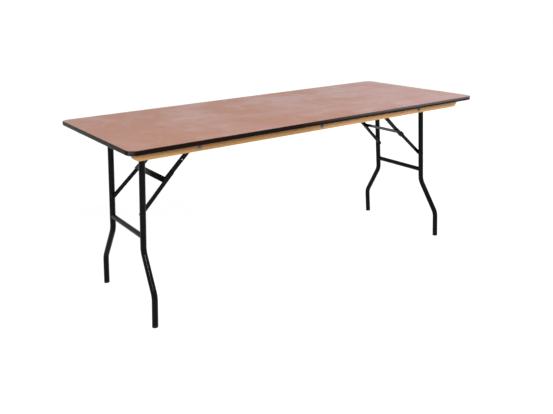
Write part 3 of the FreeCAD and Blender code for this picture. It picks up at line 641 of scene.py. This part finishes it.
class TABLE_OT_plywood_top(bpy.types.Operator):
    """Finish the plywood top and its edge band"""
    bl_idname = "table.plywood_top"
    bl_label = "Plywood top and edge band"

    def execute(self, context):
        dress([NODES["table_top"]], face_veneer())
        dress([NODES["edge_band"]], extruded_band())
        return {"FINISHED"}


class TABLE_OT_side_rails(bpy.types.Operator):
    """Finish the two timber rails"""
    bl_idname = "table.side_rails"
    bl_label = "Side rails"

    def execute(self, context):
        dress(nodes_named("side_rail"), rail_timber())
        return {"FINISHED"}


class TABLE_OT_leg_steel(bpy.types.Operator):
    """Finish the legs, cross tubes, saddles, hinges, brackets and braces, and plate the braces'
    round-headed rivets"""
    bl_idname = "table.leg_steel"
    bl_label = "Leg and brace steel"

    def execute(self, context):
        finish = settings("finish")
        dress(nodes_named("leg_", "pivot_", "lower_crossbar", "brace_hinge", "hinge_pins",
                          "upper_strut", "lower_strut", "stop_bar", "knee_rivets",
                          "rail_bracket"), powder_coat())
        # the rivets of the left braces shine, and those of the right braces get a dark plating as
        # painted shade
        dress(nodes_named("strut_rivets_left"),
              plated("nickel_plated_rivet", finish.nickel, finish.zinc, 0.2))
        dress(nodes_named("strut_rivets_right"),
              plated("painted_shade_rivet", finish.tarnish_and_shade, finish.powder, 0.4))
        return {"FINISHED"}


class TABLE_OT_foot_plugs(bpy.types.Operator):
    """Finish the four plastic feet"""
    bl_idname = "table.foot_plugs"
    bl_label = "Foot plugs"

    def execute(self, context):
        dress(nodes_named("foot_plug"), moulded_plug())
        return {"FINISHED"}


class TABLE_OT_fasteners(bpy.types.Operator):
    """Model the bolts and wood screws, and finish the washers and nuts"""
    bl_idname = "table.fasteners"
    bl_label = "Fasteners"

    def execute(self, context):
        hardware = settings("hardware")
        finish = settings("finish")
        zinc = plated("zinc_plated_steel", finish.zinc, finish.tarnish_and_shade, 0.34)
        dress(nodes_named("rail_washers", "rail_nuts"), zinc)

        # a bolt's shank is a little over half its head, and its head stands on the washer
        bolts = islands("rail_bolts")
        face = islands("rail_washers")[0][0].y
        low, high = bolts[0]
        radius = (high.z - low.z) / 2
        bolt = mushroom_head("rail_bolt", radius, face - low.y, radius * 4 / 7,
                             high.y - face - TIP_ROOM, hardware.bolt_slot)
        spots = []
        for low, high in bolts:
            outwards = 1 if low.y + high.y > 0 else -1
            spots.append(facing(((low.x + high.x) / 2, -outwards * face, (low.z + high.z) / 2),
                                (0, outwards, 0)))
        copies("mushroom_head_bolts", bolt, spots, "rail_bolts", zinc)

        # a wood screw's shank is half its head, and its head hangs below what it holds
        screws = islands("wood_screws")
        low, high = screws[0]
        radius = (high.x - low.x) / 2
        rise = hardware.screw_rise
        screw = mushroom_head("wood_screw", radius, rise, radius / 2,
                              high.z - low.z - rise - TIP_ROOM, hardware.screw_slot)
        spots = [facing(((low.x + high.x) / 2, (low.y + high.y) / 2, low.z + rise), (0, 0, -1))
                 for low, high in screws]
        copies("pan_head_screws", screw, spots, "wood_screws", zinc)
        return {"FINISHED"}


class TABLE_OT_welds(bpy.types.Operator):
    """Lay a weld bead where each tube meets another"""
    bl_idname = "table.welds"
    bl_label = "Weld beads"

    def execute(self, context):
        made = weld_metal()
        # each ring stands this far off its tube, and starts this many tube widths from its
        # neighbour
        lift = 0.25 * MM
        start = 1.6
        for side in SIDES:
            beads = []
            pivot = sum(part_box("pivot_tube_" + side), Vector()) / 2
            bar_low, bar_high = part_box("lower_crossbar_" + side)
            bar = (bar_low + bar_high) / 2
            bar_width = bar_high.z - bar_low.z
            up = (Vector((pivot.x, 0, pivot.z)) - Vector((bar.x, 0, bar.z))).normalized()
            for name, row in zip(ROWS, (-1, 1)):
                plug_low, plug_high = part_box(f"foot_plug_{side}_{name}")
                leg_width = plug_high.y - plug_low.y
                leg = f"leg_{side}_{name}"
                inside = min(abs(corner.y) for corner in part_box(leg))
                top = Vector((pivot.x, row * (inside + leg_width / 2), pivot.z))
                beads.append(weld_ring(top - up * start * leg_width, up, leg_width / 2 + lift,
                                       NODES["pivot_tube_" + side]))
                end = Vector((bar.x, row * (inside - start * bar_width), bar.z))
                beads.append(weld_ring(end, (0, row, 0), bar_width / 2 + lift, NODES[leg]))
            only(*beads)
            bpy.ops.object.join()
            piece = bpy.context.object
            piece.name = piece.data.name = "weld_beads_" + side
            dress([piece], made)
            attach(piece, "leg_set_" + side)
        return {"FINISHED"}


class TABLE_OT_stage(bpy.types.Operator):
    """Set up the floor, the room light, the lamps and the camera"""
    bl_idname = "table.stage"
    bl_label = "Stage"

    def execute(self, context):
        bpy.ops.object.select_all(action="DESELECT")
        bpy.ops.mesh.primitive_plane_add(size=FLOOR_WIDTH)
        floor = bpy.context.object
        floor.name = "floor"
        dress([floor], studio_floor())

        # the room looks white, and lights things less
        stage = settings("stage")
        world = bpy.data.worlds.new("pale_studio")
        world.use_nodes = True
        tree = world.node_tree
        tree.nodes.clear()
        light = add(tree, RANGE, {"Value": looked_at(tree), "To Min": stage.sky, "To Max": 1})
        add(tree, "ShaderNodeOutputWorld", {"Surface": add(tree, "ShaderNodeBackground", {
            "Color": (1, 1, 1), "Strength": light})})
        context.scene.world = world

        # soft square lamps that look at a point a little under the middle of the top
        aimed_at = Vector((0, 0, TOP * 0.7))
        for name, at, size, watts, in_gloss in LAMPS:
            turn = (aimed_at - Vector(at)).to_track_quat("-Z", "Y").to_euler()
            bpy.ops.object.light_add(type="AREA", location=at, rotation=turn)
            lamp = bpy.context.object
            lamp.name = name
            lamp.data.size = size
            lamp.data.energy = watts
            lamp.visible_glossy = in_gloss

        # the camera stands where the photograph was taken from
        yaw, pitch, roll = (math.radians(angle) for angle in CAMERA_TURN)
        ahead = Vector((math.sin(yaw) * math.cos(pitch), math.cos(yaw) * math.cos(pitch),
                        math.sin(pitch)))
        level = Vector((math.cos(yaw), -math.sin(yaw), 0))
        upright = level.cross(ahead)
        right = level * math.cos(roll) + upright * math.sin(roll)
        up = upright * math.cos(roll) - level * math.sin(roll)
        turn = Matrix((right, up, -ahead)).transposed()
        bpy.ops.object.camera_add(location=CAMERA_PLACE, rotation=turn.to_euler())
        camera = bpy.context.object
        camera.name = "photo_camera"
        camera.data.sensor_width = SENSOR_WIDTH
        camera.data.lens = stage.focal
        camera.data.clip_start, camera.data.clip_end = NEAREST, FARTHEST
        context.scene.camera = camera
        context.scene.view_settings.view_transform = "Standard"
        return {"FINISHED"}


class TABLE_PT_panel(bpy.types.Panel):
    """Lists the table's settings and pieces"""
    bl_idname = "TABLE_PT_panel"
    bl_label = "Folding banquet table"
    bl_space_type = "VIEW_3D"
    bl_region_type = "UI"
    bl_category = "Table"

    def draw(self, context):
        for group in SETTINGS:
            box = self.layout.box()
            held = settings(group)
            for name in held.__annotations__:
                box.prop(held, name)
        for operator in OPERATORS:
            self.layout.operator(operator.bl_idname)


SETTINGS = {"wood": WoodSettings, "finish": FinishSettings, "hardware": HardwareSettings,
            "stage": StageSettings}
OPERATORS = (TABLE_OT_plywood_top, TABLE_OT_side_rails, TABLE_OT_leg_steel, TABLE_OT_foot_plugs,
             TABLE_OT_fasteners, TABLE_OT_welds, TABLE_OT_stage)


def register():
    for kind in (*SETTINGS.values(), *OPERATORS, TABLE_PT_panel):
        bpy.utils.register_class(kind)
    for group, kind in SETTINGS.items():
        setattr(bpy.types.Scene, "table_" + group, bpy.props.PointerProperty(type=kind))


def unregister():
    for group in SETTINGS:
        delattr(bpy.types.Scene, "table_" + group)
    for kind in reversed((*SETTINGS.values(), *OPERATORS, TABLE_PT_panel)):
        bpy.utils.unregister_class(kind)


def main():
    register()
    bpy.ops.table.plywood_top()
    bpy.ops.table.side_rails()
    bpy.ops.table.leg_steel()
    bpy.ops.table.foot_plugs()
    bpy.ops.table.fasteners()
    bpy.ops.table.welds()
    bpy.ops.table.stage()


if __name__ == "__main__":
    main()
